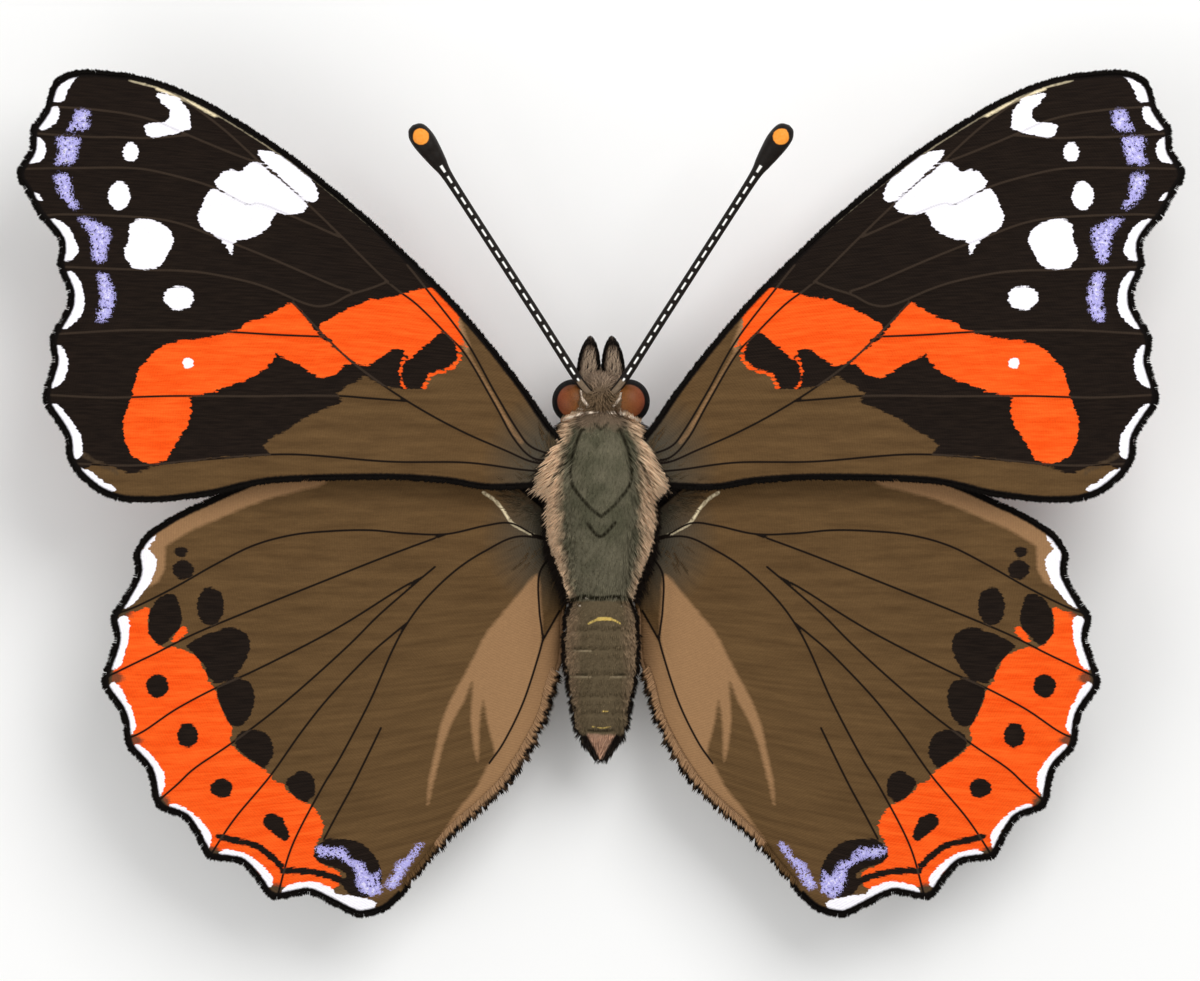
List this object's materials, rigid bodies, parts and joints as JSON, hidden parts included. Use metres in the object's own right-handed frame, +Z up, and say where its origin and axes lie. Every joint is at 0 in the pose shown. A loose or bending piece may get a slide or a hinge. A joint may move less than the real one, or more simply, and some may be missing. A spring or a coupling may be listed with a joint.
{
  "type": "red admiral butterfly",
  "caption": "Butterfly standing with its scalloped wings spread flat, dark brown with an orange-red band on each wing and white spots near the tips.",
  "frame": {"origin": "on the floor under the middle of the overall bounding box", "axes": "+Z up, head towards -Y, the butterfly's left wings towards +X"},
  "size_m": [0.0604, 0.044, 0.0091],
  "materials": {
    "wing_brown": "wing membrane under a velvety coat of scales",
    "body_hair": "soft hair over a hard skin",
    "abdomen_hair": "short hair and scales",
    "eye_brown": "smooth faceted eye with a sparse down",
    "antenna_dark": "thin scales over a stiff shaft",
    "leg_brown": "scaled, hard leg"
  },
  "bodies": {
    "root": {"abdomen": "abdomen_hair", "antenna_left": "antenna_dark", "antenna_right": "antenna_dark", "eye_left": "eye_brown", "eye_right": "eye_brown", "foreleg_left": "leg_brown", "foreleg_right": "leg_brown", "forewing_left": "wing_brown", "forewing_right": "wing_brown", "head": "body_hair", "hindwing_left": "wing_brown", "hindwing_right": "wing_brown", "leg_hind_left_femur": "leg_brown", "leg_hind_left_tarsus": "leg_brown", "leg_hind_left_tibia": "leg_brown", "leg_hind_right_femur": "leg_brown", "leg_hind_right_tarsus": "leg_brown", "leg_hind_right_tibia": "leg_brown", "leg_middle_left_femur": "leg_brown", "leg_middle_left_tarsus": "leg_brown", "leg_middle_left_tibia": "leg_brown", "leg_middle_right_femur": "leg_brown", "leg_middle_right_tarsus": "leg_brown", "leg_middle_right_tibia": "leg_brown", "palp_left": "body_hair", "palp_right": "body_hair", "proboscis": "antenna_dark", "thorax": "body_hair"}
  },
  "joints": []
}
